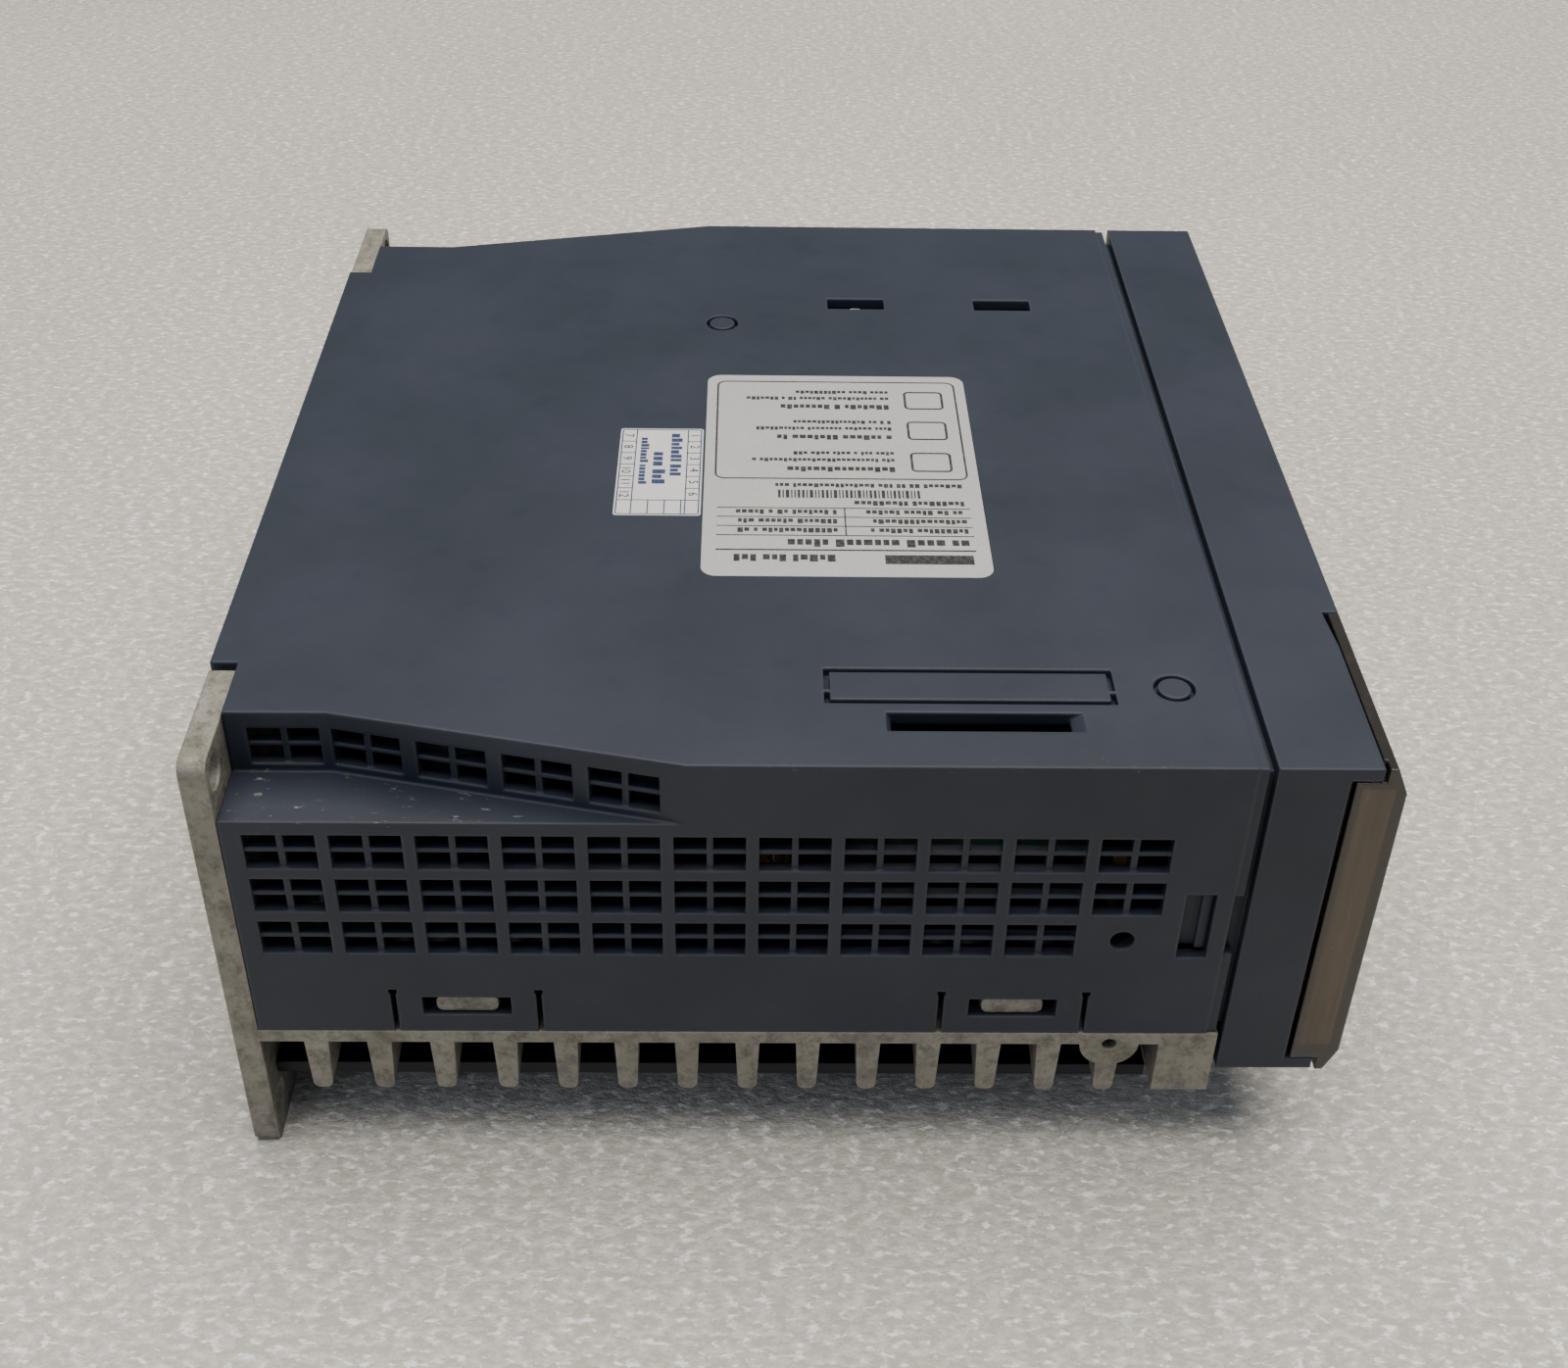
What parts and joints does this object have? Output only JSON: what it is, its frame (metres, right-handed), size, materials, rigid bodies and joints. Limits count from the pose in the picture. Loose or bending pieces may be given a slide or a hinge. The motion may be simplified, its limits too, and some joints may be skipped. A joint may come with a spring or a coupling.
{
  "type": "servo drive",
  "caption": "Book-style servo drive lying on its side: finned cast heatsink with mounting flange, vented dark plastic shell, front cover with connectors and a smoked flip cover over its keys.",
  "frame": {"origin": "centre of the overall box's bottom face, in the plane of the flange's lower edge, with the drive lying on its heatsink side", "axes": "+Z up through the label side; -X is the drive's installed top (vented end, flip cover end), +X its installed bottom (fan end); +Y is the mounting flange's back, -Y the front cover. Installed upright, the row is turned so that -X points up and +Y faces the cabinet panel"},
  "size_m": [0.185, 0.182, 0.0846],
  "materials": {
    "black_moulding": "matte moulded",
    "board_green": "solder resist",
    "brass": "turned",
    "capacitor_case": "epoxy-filled box",
    "capacitor_sleeve": "shrink sleeve",
    "cast_aluminium": "as-cast, matte, mottled",
    "choke_wire": "enamelled copper",
    "clear_pipe": "clear acrylic",
    "connector_cream": "moulded",
    "contact_gold": "plated",
    "display_bars": "unlit display bars",
    "display_red": "clear red tinted",
    "ferrite": "ferrite and tape",
    "header_green": "moulded",
    "key_grey": "soft matte keys",
    "label_film": "silver white film",
    "navy_plastic": "fine moulded matte",
    "pad_grey": "silicone pad",
    "panel_plastic": "matte",
    "sensor_blue": "moulded",
    "shell_plastic": "fine spark-eroded texture, matte",
    "smoked_lid": "clear smoked polycarbonate",
    "socket_metal": "tinned sheet",
    "sticker_paper": "paper label",
    "switch_white": "moulded",
    "zinc_screw": "zinc plated"
  },
  "bodies": {
    "drive_body": {"heatsink": "cast_aluminium", "duct_plate": "navy_plastic", "duct_screws": "zinc_screw", "housing": "shell_plastic", "front_cover": "shell_plastic", "hinge_pins": "zinc_screw", "operator_panel": "panel_plastic", "display_window": "display_red", "display_module": "black_moulding", "display_segments": "display_bars", "display_board": "board_green", "key_switches": "switch_white", "light_pipes": "clear_pipe", "indicator_leds": "switch_white", "supply_header": "header_green", "motor_header": "header_green", "header_pins": "contact_gold", "io_connector": "connector_cream", "encoder_connector": "connector_cream", "comm_socket_in": "socket_metal", "comm_socket_out": "socket_metal", "signal_contacts": "contact_gold", "control_board": "board_green", "control_chips": "black_moulding", "board_link": "black_moulding", "display_link": "black_moulding", "power_board": "board_green", "low_standoffs": "brass", "high_standoffs": "brass", "board_screws": "zinc_screw", "power_module": "black_moulding", "rectifier": "black_moulding", "thermal_pads": "pad_grey", "module_screws": "zinc_screw", "bus_capacitors": "capacitor_sleeve", "line_choke": "choke_wire", "inrush_relay": "switch_white", "flyback_transformer": "ferrite", "current_sensors": "sensor_blue", "film_capacitors": "capacitor_case", "fuse": "switch_white", "fan_frame": "black_moulding", "fan_screws": "zinc_screw", "ground_screws": "zinc_screw", "rating_label": "label_film", "service_sticker": "sticker_paper"},
    "flip_cover_body": {"flip_cover": "smoked_lid"},
    "mode_key": {"key_mode": "key_grey"},
    "up_key": {"key_up": "key_grey"},
    "down_key": {"key_down": "key_grey"},
    "enter_key": {"key_enter": "key_grey"},
    "fan_wheel": {"fan_rotor": "black_moulding", "fan_shaft": "zinc_screw"}
  },
  "joints": [
    {"name": "flip_cover_hinge", "type": "hinge", "parent": "drive_body", "child": "flip_cover_body", "pos_m": [-0.09095, -0.0849, 0.0522], "axis": [0, 0, -1], "range_deg": [0, 110]},
    {"name": "mode_key_press", "type": "slide", "parent": "drive_body", "child": "mode_key", "axis": [0, 1, 0], "range_m": [0, 0.0005], "stiffness_N_per_m": 400, "springref_m": -0.001},
    {"name": "up_key_press", "type": "slide", "parent": "drive_body", "child": "up_key", "axis": [0, 1, 0], "range_m": [0, 0.0005], "stiffness_N_per_m": 400, "springref_m": -0.001},
    {"name": "down_key_press", "type": "slide", "parent": "drive_body", "child": "down_key", "axis": [0, 1, 0], "range_m": [0, 0.0005], "stiffness_N_per_m": 400, "springref_m": -0.001},
    {"name": "enter_key_press", "type": "slide", "parent": "drive_body", "child": "enter_key", "axis": [0, 1, 0], "range_m": [0, 0.0005], "stiffness_N_per_m": 400, "springref_m": -0.001},
    {"name": "fan_spin", "type": "hinge", "parent": "drive_body", "child": "fan_wheel", "pos_m": [0.08, -0.003, 0.0551], "axis": [1, 0, 0], "continuous": true}
  ]
}
